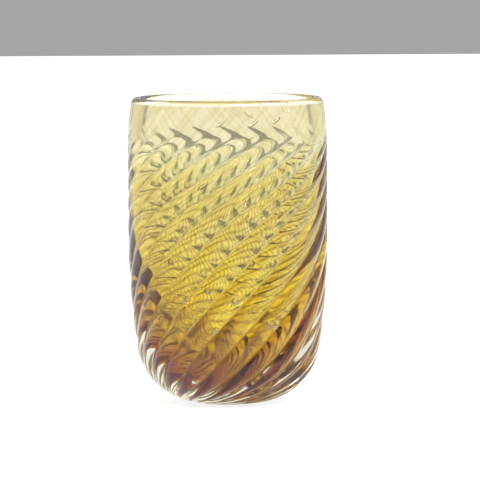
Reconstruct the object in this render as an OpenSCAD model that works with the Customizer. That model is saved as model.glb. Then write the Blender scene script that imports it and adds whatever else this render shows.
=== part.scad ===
// Hand-blown drinking glass. An amber inner gather is cased in clear glass that carries
// twisted optic ribs, with a smooth band under a rounded clear lip, a thick clear foot and
// rings of air bubbles trapped in the clear layer.
// Millimetres, +Z up, origin at the centre of the face the glass rests on.

/* [Body] */
// Height from the resting face to the top of the lip
height = 130; // [124:1:136]
// Widest diameter, measured over the rib crests
body_d = 85; // [82:0.5:90]
// Radius of the rounded heel between the foot and the wall
heel_r = 28; // [26:0.5:30]
// Radius of the slow swell of the lower wall
belly_r = 350; // [300:10:400]
// How far the lower wall leans outwards where it leaves the heel, in degrees
belly_lean = 8; // [7:0.5:9]
// Height over which the upper wall curves in towards the lip
shoulder_h = 17; // [14:1:20]
// Radius of that inward curve
shoulder_r = 90; // [80:5:120]

/* [Lip] */
// Thickness of the wall where the lip rounding starts
lip_t = 4.4; // [4:0.1:4.8]
// Height of the lip rounding
lip_h = 2.4; // [2:0.1:3]

/* [Cup] */
// Widest inside diameter
cup_d = 76.4; // [75:0.2:76.8]
// Thickness of glass under the middle of the cup
floor_t = 12.5; // [11.5:0.5:14]
// Height of the rounded bottom of the cup
bowl_h = 75; // [68:1:78]
// Squareness of that rounding, 2 for an ellipse
bowl_power = 2.1; // [2:0.1:2.4]

/* [Amber core] */
// Thickness of the amber layer at its top edge
core_top_t = 0.4; // [0.35:0.05:0.5]
// Thickness of the amber layer along the upright wall
core_wall_t = 1.1; // [0.8:0.05:1.2]
// Height of the lowest point of the amber above the resting face
core_floor_z = 9; // [8:0.5:10]

/* [Ribs] */
// Number of optic ribs
rib_count = 20; // [16:1:24]
// Depth of the groove between two ribs on the lower wall
rib_depth = 1.8; // [1:0.1:2]
// Depth of the groove between two ribs on the upper wall
rib_depth_top = 0.9; // [0.4:0.1:1]
// Turn of the ribs per millimetre on the lower wall, in degrees
twist_low = 1.3; // [0.8:0.05:1.6]
// Turn of the ribs per millimetre on the upper wall, in degrees
twist_high = 2.2; // [1.4:0.05:2.4]
// Turn of the ribs per millimetre where they leave the foot, in degrees
twist_foot = 4; // [2:0.1:4.4]
// Height at which the ribs start to fade into the smooth band
fade_z = 104; // [98:1:106]

/* [Bubbles] */
// Diameter of the drawn-out bubbles in the upper wall
bubble_d = 1.5; // [1:0.1:1.6]
// Length of those bubbles
bubble_l = 4.6; // [2:0.2:5]
// Diameter of the bubbles in the lower wall
low_bubble_d = 2.2; // [1.4:0.1:2.4]
// Length of those bubbles
low_bubble_l = 3; // [2:0.2:3.4]
// Size of the small seeds in the lip and under the band
seed_d = 0.9; // [0.6:0.1:1.2]

/* [Hidden] */
body_r = body_d / 2;
cup_r = cup_d / 2;
deg = PI / 180;

// Flat foot, and the lengths along the outer profile at which each stretch ends
foot_r = body_r - belly_r * (1 - cos(belly_lean)) - heel_r * cos(belly_lean);
heel_end_s = foot_r + heel_r * (90 - belly_lean) * deg;
belly_end_s = heel_end_s + belly_r * belly_lean * deg;
belly_end_z = heel_r * (1 - sin(belly_lean)) + belly_r * sin(belly_lean);
lip_z = height - lip_h;
shoulder_z = lip_z - shoulder_h;
wall_end_s = belly_end_s + shoulder_z - belly_end_z;
lip_s = wall_end_s + shoulder_r * asin(shoulder_h / shoulder_r) * deg;
lip_r = outer_r_at(lip_s);
mouth_r = lip_r - lip_t;
// Width of the flat left at the top of the lip rounding
lip_flat = 0.1;

// Height at which the rounded bottom of the cup meets its upright wall
bowl_top_z = floor_t + bowl_h;
// Height above which the amber is at its thinnest
core_thin_z = 113;

// Lengths along the profile between which the ribs change their depth and their turn
depth_change = [60, 115];
twist_change = [95, 120];
foot_change = [foot_r, 45];
// Lengths over which the ribs fade in above the foot and out under the smooth band
rib_fade_in = 9;
rib_fade_out = 13;
// The ribbed wall ends inside the smooth band, a little narrower than the band
joint_z = fade_z + rib_fade_out - 1;
joint_lap = 1;
joint_tuck = 0.06;

// Mesh of the ribbed wall: points across one rib, and rings along the profile
rib_points = 6;
ring_count = 30;
columns = rib_count * rib_points;

arc_steps = 10;
bowl_steps = 22;
upper_steps = 10;
bubble_steps = 6;

bubble_color = [0.75, 0.85, 0.95];
// How far a bubble's middle stands off the amber, as a share of its diameter
bubble_stand = 0.25;
// Rings of bubbles: the height of each one and its turn from the front in degrees
lip_ring = [[125.5, 37], [125, 41], [125.5, 171]];
band_ring = [[120.5, -4], [120.5, 16], [121.5, 31], [120.5, 165]];
shoulder_ring = [[114, -6], [114.5, 14], [111.5, -18]];
upper_ring = [[100, 7], [94.5, -15], [95, -22], [82, 32]];
middle_ring = [[62.5, -37], [62, 15], [62.5, 28]];
lower_ring = [[48, -29], [51, -13], [47, 4]];
heel_ring = [[35, -29], [35, -11], [37, 31]];
foot_ring = [[17, -46], [21, -18], [20, 120]];

function smooth(a, b, x) =
    let (t = max(0, min(1, (x - a) / (b - a)))) t * t * (3 - 2 * t);

// Outer profile over the rib crests, as a radius and a height for a length s along it
function outer_r_at(s) =
    s < foot_r ? s
    : s < heel_end_s ? foot_r + heel_r * sin((s - foot_r) / heel_r / deg)
    : s < belly_end_s ? body_r - belly_r * (1 - cos(belly_lean - (s - heel_end_s) / belly_r / deg))
    : s < wall_end_s ? body_r
    : body_r - shoulder_r * (1 - cos((s - wall_end_s) / shoulder_r / deg));

function outer_z_at(s) =
    s < foot_r ? 0
    : s < heel_end_s ? heel_r * (1 - cos((s - foot_r) / heel_r / deg))
    : s < belly_end_s ? belly_end_z - belly_r * sin(belly_lean - (s - heel_end_s) / belly_r / deg)
    : s < wall_end_s ? belly_end_z + s - belly_end_s
    : shoulder_z + shoulder_r * sin((s - wall_end_s) / shoulder_r / deg);

// Length along the profile at a height on the wall
function s_at(z) =
    z < outer_z_at(heel_end_s) ? foot_r + heel_r * acos(1 - z / heel_r) * deg
    : z < belly_end_z
        ? heel_end_s + belly_r * (belly_lean - asin((belly_end_z - z) / belly_r)) * deg
    : z < shoulder_z ? belly_end_s + z - belly_end_z
    : wall_end_s + shoulder_r * asin((z - shoulder_z) / shoulder_r) * deg;

// Sum of smooth() from far below up to x
function smooth_sum(span, x) =
    let (
        length = span[1] - span[0],
        t = max(0, min(1, (x - span[0]) / length))
    )
    length * (pow(t, 3) - pow(t, 4) / 2) + max(0, x - span[1]);

// Turn of the ribs per millimetre at a length s, and their whole turn up to there
function twist_rate(s) =
    twist_low
    + (twist_high - twist_low) * smooth(twist_change[0], twist_change[1], s)
    + (twist_foot - twist_low) * (1 - smooth(foot_change[0], foot_change[1], s));

function twist(s) =
    twist_low * s
    + (twist_high - twist_low) * smooth_sum(twist_change, s)
    + (twist_foot - twist_low) * (s - smooth_sum(foot_change, s));

// Cross-section of a rib: 0 at the groove and 1 at the crest
function rib_shape(f) = 1 - pow(2 * f - 1, 2);

function rib_depth_at(s) =
    (rib_depth + (rib_depth_top - rib_depth) * smooth(depth_change[0], depth_change[1], s))
    * smooth(foot_r, foot_r + rib_fade_in, s)
    * (1 - smooth(fade_z, fade_z + rib_fade_out, outer_z_at(s)));

// Rounded bottom of a cup of radius r from height low to height high
function bowl_points(low, high, r) = [
    for (i = [0 : bowl_steps])
        let (a = 90 * i / bowl_steps)
        [r * pow(sin(a), 2 / bowl_power), high - (high - low) * pow(cos(a), 2 / bowl_power)]
];

// Inside radius above the rounded bottom, and the thickness of the amber there
function cup_r_at(z) =
    cup_r + (mouth_r - cup_r) * pow(max(0, z - shoulder_z) / shoulder_h, 2);

function core_t_at(z) =
    core_wall_t + (core_top_t - core_wall_t) * smooth(bowl_top_z, core_thin_z, z);

// Outer radius of the amber at a height
function core_r_at(z) =
    let (c = pow(max(0, bowl_top_z - z) / (bowl_top_z - core_floor_z), bowl_power / 2))
    z < bowl_top_z
        ? (cup_r + core_wall_t) * pow(1 - c * c, 1 / bowl_power)
        : cup_r_at(z) + core_t_at(z);

// Upper wall of the cup, or of the amber outside it when grow is 1
function upper_points(grow) = [
    for (i = [1 : upper_steps])
        let (z = bowl_top_z + (lip_z - bowl_top_z) * i / upper_steps)
        [cup_r_at(z) + grow * core_t_at(z), z]
];

function ring_s(i) = foot_r + (s_at(joint_z) - foot_r) * i / ring_count;

function rib_ring(s, tuck) = [
    for (k = [0 : columns - 1])
        let (
            f = k % rib_points / rib_points,
            r = outer_r_at(s) - tuck - rib_depth_at(s) * (1 - rib_shape(f)),
            a = twist(s) + 360 * k / columns
        )
        [r * cos(a), r * sin(a), outer_z_at(s)]
];

// Everything inside the ribbed outer surface, up to the smooth band
module ribbed_plug() {
    rings = [for (i = [0 : ring_count]) rib_ring(ring_s(i), i == ring_count ? joint_tuck : 0)];
    points = [for (ring = rings) each ring];
    foot = [[for (k = [0 : columns - 1]) k]];
    top = [[for (k = [columns - 1 : -1 : 0]) ring_count * columns + k]];
    walls = [
        for (i = [0 : ring_count - 1])
            for (k = [0 : columns - 1])
                let (
                    a = i * columns + k,
                    b = i * columns + (k + 1) % columns
                )
                each [[a, a + columns, b], [b, a + columns, b + columns]]
    ];
    polyhedron(points = points, faces = concat(foot, walls, top));
}

// Smooth band and the outer half of the rounded lip, filled to the axis
module band_plug() {
    start = s_at(joint_z - joint_lap);
    rotate_extrude($fn = 180)
        polygon(concat(
            [[0, outer_z_at(start)]],
            [for (i = [0 : arc_steps])
                let (s = start + (lip_s - start) * i / arc_steps)
                [outer_r_at(s), outer_z_at(s)]],
            [for (i = [1 : arc_steps])
                let (a = 90 * i / arc_steps)
                [
                    lip_r - (lip_t / 2 - lip_flat / 2) * (1 - cos(a)),
                    lip_z + lip_h * sin(a)
                ]],
            [[0, height]]
        ));
}

// The drinking space, with the inner half of the rounded lip at its mouth
module cup_space() {
    rotate_extrude($fn = 180)
        polygon(concat(
            bowl_points(floor_t, bowl_top_z, cup_r),
            upper_points(0),
            [for (i = [1 : arc_steps])
                let (a = 90 * i / arc_steps)
                [
                    mouth_r + (lip_t / 2 - lip_flat / 2) * (1 - cos(a)),
                    lip_z + lip_h * sin(a)
                ]],
            [[mouth_r + lip_t / 2 - lip_flat / 2, height + 1], [0, height + 1]]
        ));
}

// The amber gather before the drinking space is taken out of it
module core_blank() {
    rotate_extrude($fn = 180)
        polygon(concat(
            bowl_points(core_floor_z, bowl_top_z, cup_r + core_wall_t),
            upper_points(1),
            [[0, lip_z]]
        ));
}

// One bubble on the amber, drawn out along the ribs, turn degrees round from the front
module bubble(z, turn, d, length) {
    r = core_r_at(z);
    tilt = atan((core_r_at(z + 0.1) - core_r_at(z - 0.1)) / 0.2);
    lean = atan(r * twist_rate(s_at(z)) * deg);
    rotate([0, 0, turn - 90])
        translate([r, 0, z])
            rotate([0, tilt, 0])
                translate([bubble_stand * d, 0, 0])
                    rotate([-lean, 0, 0])
                        rotate_extrude($fn = 24)
                            polygon([
                                for (i = [0 : bubble_steps])
                                    let (a = 180 * i / bubble_steps)
                                    [d / 2 * sin(a), -length / 2 * cos(a)]
                            ]);
}

// A ring of bubbles, given as a list of heights and turns
module bubble_ring(ring, d, length) {
    for (place = ring)
        bubble(place[0], place[1], d, length);
}

// What is left of the bubbles outside the amber
module trapped() {
    difference() {
        children();
        core_blank();
    }
}

module lip_bubbles() {
    color(bubble_color) trapped() bubble_ring(lip_ring, seed_d, seed_d);
}

module band_bubbles() {
    color(bubble_color) trapped() bubble_ring(band_ring, bubble_d, bubble_l);
}

module shoulder_bubbles() {
    color(bubble_color) trapped() bubble_ring(shoulder_ring, seed_d, bubble_d);
}

module upper_bubbles() {
    color(bubble_color) trapped() bubble_ring(upper_ring, bubble_d, bubble_l);
}

module middle_bubbles() {
    color(bubble_color) trapped() bubble_ring(middle_ring, low_bubble_d, low_bubble_l);
}

module lower_bubbles() {
    color(bubble_color) trapped() bubble_ring(lower_ring, low_bubble_d, low_bubble_l);
}

module heel_bubbles() {
    color(bubble_color) trapped() bubble_ring(heel_ring, low_bubble_d, low_bubble_l);
}

module foot_bubbles() {
    color(bubble_color) trapped() bubble_ring(foot_ring, low_bubble_d, low_bubble_l);
}

module clear_casing() {
    color([0.93, 0.93, 0.9])
        difference() {
            union() {
                ribbed_plug();
                band_plug();
            }
            core_blank();
            cup_space();
            bubble_ring(lip_ring, seed_d, seed_d);
            bubble_ring(band_ring, bubble_d, bubble_l);
            bubble_ring(shoulder_ring, seed_d, bubble_d);
            bubble_ring(upper_ring, bubble_d, bubble_l);
            bubble_ring(middle_ring, low_bubble_d, low_bubble_l);
            bubble_ring(lower_ring, low_bubble_d, low_bubble_l);
            bubble_ring(heel_ring, low_bubble_d, low_bubble_l);
            bubble_ring(foot_ring, low_bubble_d, low_bubble_l);
        }
}

module amber_core() {
    color([0.85, 0.65, 0.15])
        difference() {
            core_blank();
            cup_space();
        }
}

clear_casing();
amber_core();
lip_bubbles();
band_bubbles();
shoulder_bubbles();
upper_bubbles();
middle_bubbles();
lower_bubbles();
heel_bubbles();
foot_bubbles();
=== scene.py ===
import math

import bpy
import bmesh
import numpy as np
from mathutils import Matrix, Vector


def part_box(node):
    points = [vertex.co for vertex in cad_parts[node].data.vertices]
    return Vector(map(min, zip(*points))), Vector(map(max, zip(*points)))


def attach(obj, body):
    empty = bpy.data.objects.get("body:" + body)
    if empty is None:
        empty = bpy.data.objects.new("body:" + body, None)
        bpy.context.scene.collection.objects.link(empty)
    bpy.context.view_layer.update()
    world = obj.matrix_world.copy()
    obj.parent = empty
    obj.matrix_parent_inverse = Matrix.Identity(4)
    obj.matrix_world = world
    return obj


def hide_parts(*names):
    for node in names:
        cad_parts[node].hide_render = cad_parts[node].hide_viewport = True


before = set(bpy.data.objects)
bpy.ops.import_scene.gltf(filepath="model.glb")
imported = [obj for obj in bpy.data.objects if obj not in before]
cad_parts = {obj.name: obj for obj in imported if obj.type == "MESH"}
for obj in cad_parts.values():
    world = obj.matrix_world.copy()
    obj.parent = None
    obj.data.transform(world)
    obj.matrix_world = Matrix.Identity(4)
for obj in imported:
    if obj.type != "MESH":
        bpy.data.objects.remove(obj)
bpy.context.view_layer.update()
mm = 0.001

scene = bpy.context.scene
casingLow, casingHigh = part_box("clear_casing")
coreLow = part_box("amber_core")[0]

# Shape of the blown body, in millimetres and degrees, as in the frame
body = {
    "height": (casingHigh[2] - casingLow[2]) / mm,
    "radius": (casingHigh[0] - casingLow[0]) / 2 / mm,
    "heelRadius": 28,
    "bellyRadius": 350,
    "bellyLean": 8,
    "shoulderHeight": 17,
    "shoulderRadius": 90,
    "lipThickness": 4.4,
    "lipHeight": 2.4,
    "ringStep": 0.75,       # spacing of the mesh rings along the profile
    "innerSpread": 1.6,     # spacing inside the cup, as a multiple of the one outside
    "footStep": 2,          # spacing across the flat foot
    "lipTurn": 7.5,         # degrees from one ring to the next round the lip
    "columnsPerRib": 16,
    "lookupPoints": 2000,   # places where the profile's height is known by its length
}

# The twisted optic ribs of the outer surface
ribs = {
    "count": 20,
    "depthLow": 1.8,
    "depthHigh": 0.9,
    "depthChange": (60, 115),
    "twistLow": 1.3,
    "twistHigh": 2.2,
    "twistChange": (95, 120),
    "twistFoot": 4.0,
    "footChange": 45,
    "fadeIn": 9,
    "fadeFrom": 104,
    "fadeTo": 117,
    "turn": 0,              # turn of the whole pattern
    "depthSpread": 0.16,    # how much one rib's depth differs from the next
    "placeSpread": 0.10,    # how far a groove strays, as a share of the spacing
    "seed": 7,
}

# The drinking space and the amber round it
cup = {
    "radius": 38.2,
    "floor": 12.5,
    "bowlTop": 87.5,
    "power": 2.1,
    "ripple": 0.12,         # ribs felt on the inside, from the mould
    "rippleFrom": 10,       # radius inside which the ripple dies away
    "bowlPoints": 60,
    "wallPoints": 40,
}

core = {
    "floor": coreLow[2] / mm,
    "wall": 1.1,
    "top": 0.4,
    "thinFrom": 113,
    "sink": 0.03,           # how deep the amber is set into the clear mesh
    "lipGap": 0.3,          # height left clear between the amber and the lip
}


def smoothRamp(low, high, x):
    t = np.clip((x - low) / (high - low), 0, 1)
    return t * t * (3 - 2 * t)


def smoothSum(low, high, x):
    length = high - low
    t = np.clip((x - low) / length, 0, 1)
    return length * (t ** 3 - t ** 4 / 2) + np.maximum(0, x - high)


class Profile:
    # Outer profile over the crests, by length from the middle of the foot

    def __init__(self, b):
        lean = math.radians(b["bellyLean"])
        self.b, self.lean = b, lean
        heelMiddle = b["radius"] - b["bellyRadius"] * (1 - math.cos(lean))
        self.foot = heelMiddle - b["heelRadius"] * math.cos(lean)
        self.heelEnd = self.foot + b["heelRadius"] * (math.pi / 2 - lean)
        self.bellyEnd = self.heelEnd + b["bellyRadius"] * lean
        self.bellyTop = b["heelRadius"] * (1 - math.sin(lean)) + b["bellyRadius"] * math.sin(lean)
        self.lipZ = b["height"] - b["lipHeight"]
        self.shoulderZ = self.lipZ - b["shoulderHeight"]
        self.wallEnd = self.bellyEnd + self.shoulderZ - self.bellyTop
        shoulderLean = math.asin(b["shoulderHeight"] / b["shoulderRadius"])
        self.lipS = self.wallEnd + b["shoulderRadius"] * shoulderLean
        self.lipR = self.at(self.lipS)[0]
        self.mouth = self.lipR - b["lipThickness"]
        self.samples = np.linspace(self.foot, self.lipS, b["lookupPoints"])
        self.heights = np.array([self.at(s)[1] for s in self.samples])

    def at(self, s):
        # radius, height and the dip of the outward normal below level
        b = self.b
        if s < self.foot:
            return s, 0.0, math.pi / 2
        if s < self.heelEnd:
            a = (s - self.foot) / b["heelRadius"]
            r = self.foot + b["heelRadius"] * math.sin(a)
            return r, b["heelRadius"] * (1 - math.cos(a)), math.pi / 2 - a
        if s < self.bellyEnd:
            a = self.lean - (s - self.heelEnd) / b["bellyRadius"]
            r = b["radius"] - b["bellyRadius"] * (1 - math.cos(a))
            return r, self.bellyTop - b["bellyRadius"] * math.sin(a), a
        if s < self.wallEnd:
            return b["radius"], self.bellyTop + s - self.bellyEnd, 0.0
        a = (s - self.wallEnd) / b["shoulderRadius"]
        r = b["radius"] - b["shoulderRadius"] * (1 - math.cos(a))
        return r, self.shoulderZ + b["shoulderRadius"] * math.sin(a), -a

    def lengthAt(self, z):
        return float(np.interp(z, self.heights, self.samples))


profile = Profile(body)


def twistAt(s):
    low, high, foot = ribs["twistLow"], ribs["twistHigh"], ribs["twistFoot"]
    a, b = ribs["twistChange"]
    turn = low * s + (high - low) * smoothSum(a, b, s)
    return turn + (foot - low) * (s - smoothSum(profile.foot, ribs["footChange"], s))


def twistRate(s):
    low, high, foot = ribs["twistLow"], ribs["twistHigh"], ribs["twistFoot"]
    a, b = ribs["twistChange"]
    rate = low + (high - low) * smoothRamp(a, b, s)
    return rate + (foot - low) * (1 - smoothRamp(profile.foot, ribs["footChange"], s))


def ribDepthAt(s, z):
    a, b = ribs["depthChange"]
    depth = ribs["depthLow"] + (ribs["depthHigh"] - ribs["depthLow"]) * smoothRamp(a, b, s)
    fade = 1 - smoothRamp(ribs["fadeFrom"], ribs["fadeTo"], z)
    return depth * smoothRamp(profile.foot, profile.foot + ribs["fadeIn"], s) * fade


rng = np.random.RandomState(ribs["seed"])
columns = ribs["count"] * body["columnsPerRib"]
ribNumber = np.arange(columns) // body["columnsPerRib"]
ribPlace = (np.arange(columns) % body["columnsPerRib"]) / body["columnsPerRib"]
ribDepthScale = 1 - ribs["depthSpread"] * rng.uniform(0, 1, ribs["count"])
grooveShift = ribs["placeSpread"] * rng.uniform(-0.5, 0.5, ribs["count"] + 1)
grooveShift[-1] = grooveShift[0]
# each column keeps its place between two grooves that stray a little
columnTurn = 360 / ribs["count"] * (
    ribNumber + ribPlace + grooveShift[ribNumber] * (1 - ribPlace) + grooveShift[ribNumber + 1] * ribPlace
)
grooveDepthScale = (ribDepthScale + np.roll(ribDepthScale, 1)) / 2
nextDepth = np.roll(grooveDepthScale, -1)


def ribProfile(depth):
    # drop below the crest for every column: deepest at the two grooves beside a rib
    v = 2 * ribPlace - 1
    side = np.where(v < 0, grooveDepthScale[ribNumber], nextDepth[ribNumber])
    return depth * side * v * v


def ringPoints(r, z, turn):
    a = np.radians(columnTurn + turn + ribs["turn"])
    r = np.broadcast_to(r, a.shape)
    return np.stack([r * np.cos(a), r * np.sin(a), np.full(columns, z)], 1) * mm


def resample(points, step):
    p = np.array(points)
    d = np.concatenate([[0], np.cumsum(np.hypot(*(p[1:] - p[:-1]).T))])
    q = np.linspace(0, d[-1], max(2, int(round(d[-1] / step)) + 1))
    return np.stack([np.interp(q, d, p[:, 0]), np.interp(q, d, p[:, 1])], 1)


def bowl(low, high, r):
    # from the wall down to the middle of the floor
    a = np.radians(np.linspace(90, 0, cup["bowlPoints"]))
    k = 2 / cup["power"]
    return list(zip(r * np.sin(a) ** k, high - (high - low) * np.abs(np.cos(a)) ** k))


def cupRadiusAt(z):
    t = max(0, z - profile.shoulderZ) / body["shoulderHeight"]
    return cup["radius"] + (profile.mouth - cup["radius"]) * t * t


def coreThicknessAt(z):
    thinned = float(smoothRamp(cup["bowlTop"], core["thinFrom"], z))
    return core["wall"] + (core["top"] - core["wall"]) * thinned


def upperWall(grow, shift, top):
    z = np.linspace(top, cup["bowlTop"], cup["wallPoints"])[:-1]
    return [(cupRadiusAt(v) + grow * coreThicknessAt(v) + shift, v) for v in z]


def addPiece(name, mesh):
    mesh.polygons.foreach_set("use_smooth", [True] * len(mesh.polygons))
    mesh.update()
    piece = bpy.data.objects.new(name, mesh)
    scene.collection.objects.link(piece)
    return piece


def meshFromRings(name, rings):
    # rings run from the pole at the foot, out, up and back in to the last pole
    points = np.concatenate(rings)
    k = np.arange(columns)
    n = np.roll(k, -1)
    faces = []
    for i in range(len(rings) - 1):
        a, b = i * columns, (i + 1) * columns
        faces.append(np.stack([a + k, a + n, b + n, b + k], 1))
    mesh = bpy.data.meshes.new(name)
    mesh.from_pydata(points.tolist(), [], np.concatenate(faces).tolist())
    bm = bmesh.new()
    bm.from_mesh(mesh)
    bmesh.ops.remove_doubles(bm, verts=bm.verts, dist=1e-7)
    bmesh.ops.recalc_face_normals(bm, faces=bm.faces)
    if bm.calc_volume(signed=True) < 0:
        bmesh.ops.reverse_faces(bm, faces=bm.faces)
    bm.to_mesh(mesh)
    bm.free()
    return addPiece(name, mesh)


def makeCasing():
    step = body["ringStep"]
    rings = [ringPoints(0, 0, twistAt(profile.foot))]
    for r in np.arange(body["footStep"], profile.foot, body["footStep"]):
        rings.append(ringPoints(r, 0, twistAt(profile.foot)))
    outerRings = int((profile.lipS - profile.foot) / step)
    for s in np.linspace(profile.foot, profile.lipS, outerRings):
        r, z, dip = profile.at(s)
        drop = ribProfile(ribDepthAt(s, z))
        ring = ringPoints(r - drop * math.cos(dip), z, twistAt(s))
        ring[:, 2] += drop * math.sin(dip) * mm
        rings.append(ring)
    lastTurn = twistAt(profile.lipS)
    half = body["lipThickness"] / 2
    for a in np.radians(np.arange(body["lipTurn"], 180, body["lipTurn"])):
        r = profile.lipR - half + half * math.cos(a)
        rings.append(ringPoints(r, profile.lipZ + body["lipHeight"] * math.sin(a), lastTurn))
    inner = upperWall(0, 0, profile.lipZ) + bowl(cup["floor"], cup["bowlTop"], cup["radius"])
    for r, z in resample(inner, step * body["innerSpread"]):
        s = profile.lengthAt(z)
        wave = cup["ripple"] / ribs["depthLow"] * ribProfile(ribDepthAt(s, z))
        wave = wave * min(1, r / cup["rippleFrom"])
        rippled = max(0, r - wave.max()) + wave if r > 1e-6 else 0
        rings.append(ringPoints(rippled, z, twistAt(s)))
    return meshFromRings("clearCasing", rings)


def makeCore():
    # a closed lining within the clear mesh, from its outside pole to its inside one
    step = body["ringStep"] * body["innerSpread"]
    sink = core["sink"]
    top = profile.lipZ - core["lipGap"]
    outer = upperWall(1, 0, top) + bowl(core["floor"], cup["bowlTop"], cup["radius"] + core["wall"])
    inner = upperWall(0, sink, top) + bowl(cup["floor"] - sink, cup["bowlTop"], cup["radius"] + sink)
    outline = [*resample(outer[::-1], step), *resample(inner, step)]
    return meshFromRings("amberCore", [ringPoints(r, z, 0) for r, z in outline])


# What the surfaces of hand-worked glass share
surface = {
    "cordScale": 420,       # cords per metre across the ribs
    "cordStretch": 0.12,    # how drawn-out the cords are
    "cordDetail": 3,
    "cordRoughness": 0.45,
    "streakRange": (0.42, 0.62),    # strength of a cord where its tint starts and is full
    "waverScale": 90,       # slow unevenness left by the tools
    "waverDetail": 2,
    "waverRoughness": 0.5,
    "grainScale": 1260,
    "grainDetail": 2,
    "cordTwist": 22.7,      # radians for each metre of height, as the ribs turn
    "strokeRise": 2.2,      # height from one feathered stroke to the next, in millimetres
    "strokesPerRib": 3,     # strokes met in one rib spacing on the level
    "strokeBow": 3.0,       # how much a stroke bends across a rib
    "strokeStray": 2.2,     # how far the waver carries a stroke off its line
    "strokeSharpness": 3,
    "strokeGaps": (1.6, -0.1),      # slope and start of the way cords break the strokes up
}


def addNode(tree, kind, **values):
    node = tree.nodes.new("ShaderNode" + kind)
    for key, value in values.items():
        if key in node.bl_rna.properties:
            setattr(node, key, value)
        else:
            node.inputs[key.replace("_", " ")].default_value = value
    return node


def makeSurfaceGroup():
    group = bpy.data.node_groups.new("handWorked", "ShaderNodeTree")
    for name in ("Cords", "Waver", "Grain", "Strokes"):
        group.interface.new_socket(name, in_out="OUTPUT", socket_type="NodeSocketFloat")
    place = addNode(group, "TexCoord")
    axes = addNode(group, "SeparateXYZ")
    turn = addNode(group, "Math", operation="MULTIPLY")
    turn.inputs[1].default_value = -surface["cordTwist"]
    unwound = addNode(group, "VectorRotate", rotation_type="Z_AXIS")
    stretch = addNode(group, "VectorMath", operation="MULTIPLY")
    stretch.inputs[1].default_value = (1, 1, surface["cordStretch"])
    cords = addNode(group, "TexNoise", Scale=surface["cordScale"], Detail=surface["cordDetail"])
    cords.inputs["Roughness"].default_value = surface["cordRoughness"]
    waver = addNode(group, "TexNoise", Scale=surface["waverScale"], Detail=surface["waverDetail"])
    waver.inputs["Roughness"].default_value = surface["waverRoughness"]
    grain = addNode(group, "TexNoise", Scale=surface["grainScale"], Detail=surface["grainDetail"])
    out = group.nodes.new("NodeGroupOutput")
    links = group.links

    def maths(operation, first, second=0.0, third=0.0):
        node = addNode(group, "Math", operation=operation)
        for socket, value in zip(node.inputs, (first, second, third)):
            if isinstance(value, bpy.types.NodeSocket):
                links.new(value, socket)
            else:
                socket.default_value = value
        return node.outputs[0]

    # feathered strokes: level lines wound on a slant, bent across each rib and let stray
    turns = maths("DIVIDE", maths("ARCTAN2", axes.outputs["Y"], axes.outputs["X"]), 2 * math.pi)
    ribAt = maths("MULTIPLY_ADD", turns, ribs["count"], 0)
    climb = maths("MULTIPLY", axes.outputs["Z"], ribs["twistLow"] * ribs["count"] / 360 / mm)
    inRib = maths("SUBTRACT", maths("FRACT", maths("SUBTRACT", ribAt, climb)), 0.5)
    bow = maths("MULTIPLY", maths("MULTIPLY", inRib, inRib), surface["strokeBow"])
    rise = maths("DIVIDE", axes.outputs["Z"], surface["strokeRise"] * mm)
    level = maths("SUBTRACT", rise, maths("MULTIPLY", ribAt, surface["strokesPerRib"]))
    bent = maths("ADD", level, bow)
    strayed = maths("MULTIPLY_ADD", waver.outputs["Fac"], surface["strokeStray"], bent)
    wave = maths("SINE", maths("MULTIPLY", strayed, 2 * math.pi))
    line = maths("POWER", maths("MULTIPLY_ADD", wave, 0.5, 0.5), surface["strokeSharpness"])
    strokes = maths("MULTIPLY", line, maths("MULTIPLY_ADD", cords.outputs["Fac"], *surface["strokeGaps"]))
    links.new(strokes, out.inputs["Strokes"])
    links.new(place.outputs["Object"], axes.inputs[0])
    links.new(axes.outputs["Z"], turn.inputs[0])
    links.new(place.outputs["Object"], unwound.inputs["Vector"])
    links.new(turn.outputs[0], unwound.inputs["Angle"])
    links.new(unwound.outputs[0], stretch.inputs[0])
    links.new(stretch.outputs[0], cords.inputs["Vector"])
    links.new(unwound.outputs[0], waver.inputs["Vector"])
    links.new(place.outputs["Object"], grain.inputs["Vector"])
    for name, node in (("Cords", cords), ("Waver", waver), ("Grain", grain)):
        links.new(node.outputs["Fac"], out.inputs[name])
    return group


surfaceGroup = makeSurfaceGroup()


def blend(tree, factor, stops):
    # stops are (place from 0 to 1, colour)
    ramp = addNode(tree, "ValToRGB")
    while len(ramp.color_ramp.elements) < len(stops):
        ramp.color_ramp.elements.new(0.5)
    for element, (position, colour) in zip(ramp.color_ramp.elements, stops):
        element.position = position
        element.color = (*colour, 1)
    tree.links.new(factor, ramp.inputs[0])
    return ramp.outputs[0]


absorbMargin = 1.02


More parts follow.
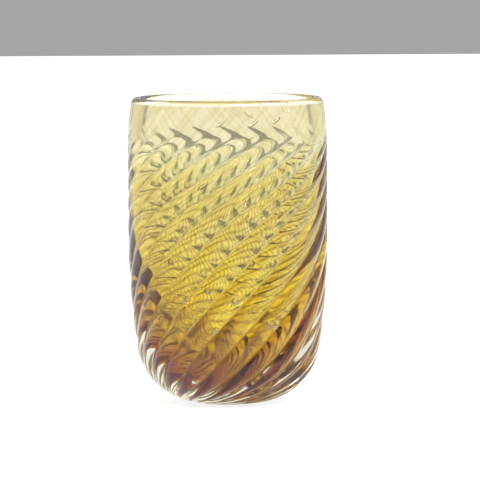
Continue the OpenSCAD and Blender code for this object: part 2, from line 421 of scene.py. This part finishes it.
def makeGlass(name, look):
    material = bpy.data.materials.new(name)
    material.use_nodes = True
    tree = material.node_tree
    shader = tree.nodes["Principled BSDF"]
    shader.inputs["Transmission Weight"].default_value = 1
    shader.inputs["IOR"].default_value = look["ior"]
    marks = tree.nodes.new("ShaderNodeGroup")
    marks.node_tree = surfaceGroup
    # colour by height, which on the amber is partly painted shade, with faint cords of a second tint
    place = addNode(tree, "TexCoord")
    axes = addNode(tree, "SeparateXYZ")
    height = addNode(tree, "MapRange")
    height.inputs["From Max"].default_value = body["height"] * mm
    tree.links.new(place.outputs["Object"], axes.inputs[0])
    tree.links.new(axes.outputs["Z"], height.inputs["Value"])
    tintAndShade = blend(tree, height.outputs[0], look["tintsAndShade"])
    low, high = surface["streakRange"]
    streak = blend(tree, marks.outputs["Cords"], [(low, (1, 1, 1)), (high, look["streak"])])
    mixed = addNode(tree, "Mix", data_type="RGBA", blend_type="MULTIPLY")
    mixed.inputs["Factor"].default_value = 1
    tree.links.new(tintAndShade, mixed.inputs[6])
    tree.links.new(streak, mixed.inputs[7])
    painted = mixed.outputs[2]
    if "stroke" in look:
        reach = blend(tree, height.outputs[0], look["strokeReach"])
        mask = addNode(tree, "Math", operation="MULTIPLY")
        tree.links.new(marks.outputs["Strokes"], mask.inputs[0])
        tree.links.new(reach, mask.inputs[1])
        feathers = addNode(tree, "Mix", data_type="RGBA", blend_type="MULTIPLY")
        feathers.inputs[7].default_value = (*look["stroke"], 1)
        tree.links.new(mask.outputs[0], feathers.inputs["Factor"])
        tree.links.new(painted, feathers.inputs[6])
        painted = feathers.outputs[2]
    tree.links.new(painted, shader.inputs["Base Color"])
    rough = addNode(tree, "MapRange")
    rough.inputs["To Min"].default_value, rough.inputs["To Max"].default_value = look["roughness"]
    tree.links.new(marks.outputs["Grain"], rough.inputs["Value"])
    tree.links.new(rough.outputs[0], shader.inputs["Roughness"])
    relief = addNode(tree, "Mix", data_type="FLOAT")
    relief.inputs["Factor"].default_value = look["waverShare"]
    tree.links.new(marks.outputs["Cords"], relief.inputs[2])
    tree.links.new(marks.outputs["Waver"], relief.inputs[3])
    bump = addNode(tree, "Bump", Strength=1, Distance=look["relief"] * mm)
    tree.links.new(relief.outputs[0], bump.inputs["Height"])
    tree.links.new(bump.outputs[0], shader.inputs["Normal"])
    if "absorb" in look:
        # a little over the strongest loss, so that no part of the colour is quite nought
        top = max(look["absorb"]) * absorbMargin
        volume = addNode(tree, "VolumeAbsorption")
        volume.inputs["Color"].default_value = (*[1 - a / top for a in look["absorb"]], 1)
        volume.inputs["Density"].default_value = top / mm
        tree.links.new(volume.outputs[0], tree.nodes["Material Output"].inputs["Volume"])
    return material


# tintsAndShade and strokeReach go by the share of the height; relief is in millimetres; absorb is how
# strongly red, green and blue are lost, for each millimetre
clearLook = {
    "ior": 1.5,
    "tintsAndShade": [
        (0, (0.97, 0.98, 0.96)), (0.09, (0.95, 0.955, 0.93)), (0.55, (0.94, 0.94, 0.94)),
        (1, (0.96, 0.945, 0.945)),
    ],
    "streak": (0.96, 0.96, 0.95),
    "roughness": (0, 0.004),
    "relief": 0.018,
    "waverShare": 0.4,
    "absorb": (0.0022, 0.0018, 0.0034),
}
amberLook = {
    "ior": 1.0,
    "tintsAndShade": [
        # the dark brown just above the foot is painted shade; higher up the stops are the amber's own
        # yellow, paling towards the thin top
        (0, (1, 1, 1)), (0.07, (0.58, 0.4, 0.12)), (0.13, (0.8, 0.66, 0.16)), (0.17, (0.97, 0.93, 0.3)),
        (0.2, (1, 0.98, 0.3)), (0.27, (1, 1, 0.48)), (0.4, (0.96, 0.96, 0.6)), (0.55, (0.95, 0.97, 0.93)),
        (0.75, (0.97, 1, 1)), (0.95, (1, 1, 1)),
    ],
    "streak": (0.95, 0.93, 0.85),
    "stroke": (0.5, 0.36, 0.12),
    "strokeReach": [
        (0.1, (0, 0, 0)), (0.2, (1, 1, 1)), (0.55, (0.9, 0.9, 0.9)), (0.7, (0.45, 0.45, 0.45)),
        (0.84, (0, 0, 0)),
    ],
    "roughness": (0, 0.003),
    "relief": 0.02,
    "waverShare": 0.3,
    "absorb": (0.075, 0.165, 0.7),
}
bubbleLook = {
    "ior": 1.5,
    "tintsAndShade": [(0, (0.98, 0.98, 1)), (1, (1, 1, 1))],
    "streak": (0.97, 0.97, 0.98),
    "roughness": (0, 0.006),
    "relief": 0.01,
    "waverShare": 0.6,
}

casing = makeCasing()
casing.data.materials.append(makeGlass("clearGlass", clearLook))
amber = makeCore()
amber.data.materials.append(makeGlass("amberGlass", amberLook))
for piece, node, slotName in ((casing, "clear_casing", "clear_glass"), (amber, "amber_core", "amber_glass")):
    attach(piece, "root")
    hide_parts(node)
print("glass bodies made")

# Air bubbles on the amber: (height, turn from the front) of each, and their width and length
bubbles = {
    "lip_bubbles": (0.9, 0.9, [(125.5, 37), (125, 41), (125.5, 171)]),
    "band_bubbles": (1.5, 4.6, [(120.5, -4), (120.5, 16), (121.5, 31), (120.5, 165)]),
    "shoulder_bubbles": (0.9, 1.5, [(114, -6), (114.5, 14), (111.5, -18)]),
    "upper_bubbles": (1.5, 4.6, [(100, 7), (94.5, -15), (95, -22), (82, 32)]),
    "middle_bubbles": (2.2, 3.0, [(62.5, -37), (62, 15), (62.5, 28)]),
    "lower_bubbles": (2.2, 3.0, [(48, -29), (51, -13), (47, 4)]),
    "heel_bubbles": (2.2, 3.0, [(35, -29), (35, -11), (37, 31)]),
    "foot_bubbles": (2.2, 3.0, [(17, -46), (21, -18), (20, 120)]),
}
bubbleShape = {
    "stand": 0.25,          # how far a bubble's middle stands off the amber, by its width
    "segments": 24,
    "rings": 16,
}


def coreRadiusAt(z):
    if z >= cup["bowlTop"]:
        return cupRadiusAt(z) + coreThicknessAt(z)
    share = (cup["bowlTop"] - z) / (cup["bowlTop"] - core["floor"])
    return (cup["radius"] + core["wall"]) * (1 - share ** cup["power"]) ** (1 / cup["power"])


def makeBubbles(node, width, length, places):
    bm = bmesh.new()
    for z, turn in places:
        r = coreRadiusAt(z)
        tilt = math.atan((coreRadiusAt(z + 0.1) - coreRadiusAt(z - 0.1)) / 0.2)
        lean = math.atan(r * math.radians(twistRate(profile.lengthAt(z))))
        place = (
            Matrix.Rotation(math.radians(turn - 90), 4, "Z")
            @ Matrix.Translation((r * mm, 0, z * mm))
            @ Matrix.Rotation(tilt, 4, "Y")
            @ Matrix.Translation((bubbleShape["stand"] * width * mm, 0, 0))
            @ Matrix.Rotation(-lean, 4, "X")
            @ Matrix.Diagonal((width / 2 * mm, width / 2 * mm, length / 2 * mm, 1))
        )
        bmesh.ops.create_uvsphere(
            bm, u_segments=bubbleShape["segments"], v_segments=bubbleShape["rings"], radius=1, matrix=place
        )
    # the faces look into the air, so light leaves the glass there
    bmesh.ops.reverse_faces(bm, faces=bm.faces)
    name = node.replace("_b", "B")
    mesh = bpy.data.meshes.new(name)
    bm.to_mesh(mesh)
    bm.free()
    return addPiece(name, mesh)


bubbleMaterial = makeGlass("bubbleWall", bubbleLook)
for node, (width, length, places) in bubbles.items():
    piece = makeBubbles(node, width, length, places)
    piece.data.materials.append(bubbleMaterial)
    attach(piece, "root")
    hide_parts(node)
print("bubbles made")

# Table, surroundings and camera
studio = {
    "floorSize": 8,
    "floorColours": [(0.3, (0.28, 0.28, 0.28)), (0.7, (0.32, 0.32, 0.32))],
    "floorGlow": 0.77,
    "floorRoughness": (0.8, 0.95),
    "floorShine": 0.1,
    # pale panels with dimmer grey gaps between them: degrees from the middle of the wall behind
    # the glass, to the left of it below nought and to the right above, and the colour there
    "round": [
        (-180, (0.62, 0.62, 0.62)), (-128, (0.62, 0.62, 0.63)), (-108, (1.0, 0.99, 1.06)),
        (-64, (1.0, 0.99, 1.06)), (-57, (0.57, 0.57, 0.57)), (-50, (0.57, 0.57, 0.57)),
        (-45, (0.95, 0.94, 0.9)), (-21, (0.95, 0.94, 0.9)), (-18.5, (0.27, 0.27, 0.27)),
        (-16, (0.27, 0.27, 0.27)), (-14, (0.95, 0.95, 0.9)), (-7.5, (0.95, 0.95, 0.9)),
        (-5.5, (0.38, 0.38, 0.38)), (5.5, (0.38, 0.38, 0.38)), (7.5, (1.0, 1.0, 0.96)),
        (14, (1.0, 1.0, 0.96)), (16, (0.31, 0.31, 0.31)), (18.5, (0.31, 0.31, 0.31)),
        (21, (1.0, 0.99, 0.96)), (45, (1.0, 0.99, 0.96)), (50, (0.61, 0.61, 0.61)),
        (57, (0.61, 0.61, 0.61)), (64, (1.1, 1.09, 1.16)), (110, (1.1, 1.09, 1.16)),
        (128, (0.62, 0.62, 0.63)), (180, (0.62, 0.62, 0.62)),
    ],
    # soft lamps: degrees round to the right of the camera, degrees up, metres away and across
    "lamps": [
        {"turn": 42, "up": 48, "distance": 1.2, "width": 1.5, "height": 0.22, "brightness": 30},
        {"turn": -120, "up": 30, "distance": 1.0, "width": 0.35, "height": 0.35, "brightness": 6},
    ],
    "lampColour": (0.95, 0.94, 1.0),
    "overhead": (1.15, 1.15, 1.18),
    "overheadFrom": (0.45, 0.8),    # upward part of the direction where the ceiling takes over
    "bounces": 48,
    "glossyBounces": 24,
}
camera = {
    "distance": 1.6,
    "rise": 2.75,           # how far it looks down, in degrees, at the lip
    "aim": (0.00515, 0, 0.0690),
    "viewWidth": 0.20382,   # metres across the view, at the glass
    "sensor": 36,
    "roll": -0.3,
}


def makeFloor():
    half = studio["floorSize"] / 2
    mesh = bpy.data.meshes.new("floor")
    corners = [(-half, -half, 0), (half, -half, 0), (half, half, 0), (-half, half, 0)]
    mesh.from_pydata(corners, [], [(0, 1, 2, 3)])
    floor = bpy.data.objects.new("floor", mesh)
    scene.collection.objects.link(floor)
    material = bpy.data.materials.new("paleTable")
    material.use_nodes = True
    tree = material.node_tree
    shader = tree.nodes["Principled BSDF"]
    marks = tree.nodes.new("ShaderNodeGroup")
    marks.node_tree = surfaceGroup
    colour = blend(tree, marks.outputs["Waver"], studio["floorColours"])
    tree.links.new(colour, shader.inputs["Base Color"])
    rough = addNode(tree, "MapRange")
    rough.inputs["To Min"].default_value, rough.inputs["To Max"].default_value = studio["floorRoughness"]
    tree.links.new(marks.outputs["Grain"], rough.inputs["Value"])
    tree.links.new(rough.outputs[0], shader.inputs["Roughness"])
    shader.inputs["Specular IOR Level"].default_value = studio["floorShine"]
    shader.inputs["Emission Color"].default_value = (1, 1, 1, 1)
    shader.inputs["Emission Strength"].default_value = studio["floorGlow"]
    mesh.materials.append(material)


def makeWorld():
    world = bpy.data.worlds.new("studioRoom")
    scene.world = world
    world.use_nodes = True
    tree = world.node_tree
    links = tree.links
    background = tree.nodes["Background"]
    direction = addNode(tree, "TexCoord")
    parts = addNode(tree, "SeparateXYZ")
    away = addNode(tree, "Math", operation="ARCCOSINE")
    side = addNode(tree, "Math", operation="SIGN")
    turn = addNode(tree, "Math", operation="MULTIPLY")
    wholeTurn = addNode(tree, "MapRange")
    wholeTurn.inputs["From Min"].default_value = -math.pi
    wholeTurn.inputs["From Max"].default_value = math.pi
    links.new(direction.outputs["Generated"], parts.inputs[0])
    links.new(parts.outputs["X"], side.inputs[0])
    links.new(parts.outputs["Y"], away.inputs[0])
    links.new(side.outputs[0], turn.inputs[0])
    links.new(away.outputs[0], turn.inputs[1])
    links.new(turn.outputs[0], wholeTurn.inputs["Value"])
    panels = [((d + 180) / 360, colour) for d, colour in studio["round"]]
    around = blend(tree, wholeTurn.outputs[0], panels)
    up = addNode(tree, "MapRange", interpolation_type="SMOOTHSTEP")
    up.inputs["From Min"].default_value, up.inputs["From Max"].default_value = studio["overheadFrom"]
    links.new(parts.outputs["Z"], up.inputs["Value"])
    mixed = addNode(tree, "Mix", data_type="RGBA")
    links.new(up.outputs[0], mixed.inputs["Factor"])
    links.new(around, mixed.inputs[6])
    mixed.inputs[7].default_value = (*studio["overhead"], 1)
    links.new(mixed.outputs[2], background.inputs["Color"])


def makeLamps():
    for spot in studio["lamps"]:
        data = bpy.data.lights.new("lamp", "AREA")
        data.shape = "RECTANGLE"
        data.size, data.size_y = spot["width"], spot["height"]
        data.energy = spot["brightness"] * math.pi * spot["width"] * spot["height"]
        data.color = studio["lampColour"]
        lamp = bpy.data.objects.new("lamp", data)
        scene.collection.objects.link(lamp)
        turn, up = math.radians(spot["turn"]), math.radians(spot["up"])
        away = Vector((math.sin(turn) * math.cos(up), -math.cos(turn) * math.cos(up), math.sin(up)))
        lamp.location = away * spot["distance"] + Vector((0, 0, body["height"] / 2 * mm))
        lamp.rotation_euler = away.to_track_quat("Z", "Y").to_euler()


def makeCamera():
    data = bpy.data.cameras.new("camera")
    eye = bpy.data.objects.new("camera", data)
    scene.collection.objects.link(eye)
    scene.camera = eye
    distance = camera["distance"]
    data.sensor_width = camera["sensor"]
    data.lens = camera["sensor"] * distance / camera["viewWidth"]
    rise = body["height"] * mm + distance * math.tan(math.radians(camera["rise"]))
    eye.location = (0, -distance, rise)
    look = (Vector(camera["aim"]) - eye.location).to_track_quat("-Z", "Y")
    roll = Matrix.Rotation(math.radians(camera["roll"]), 3, "Z").to_quaternion()
    eye.rotation_euler = (look @ roll).to_euler()


makeFloor()
makeWorld()
makeLamps()
makeCamera()
scene.view_settings.view_transform = "Standard"
scene.cycles.max_bounces = studio["bounces"]
scene.cycles.transmission_bounces = studio["bounces"]
scene.cycles.glossy_bounces = studio["glossyBounces"]
print("studio made")
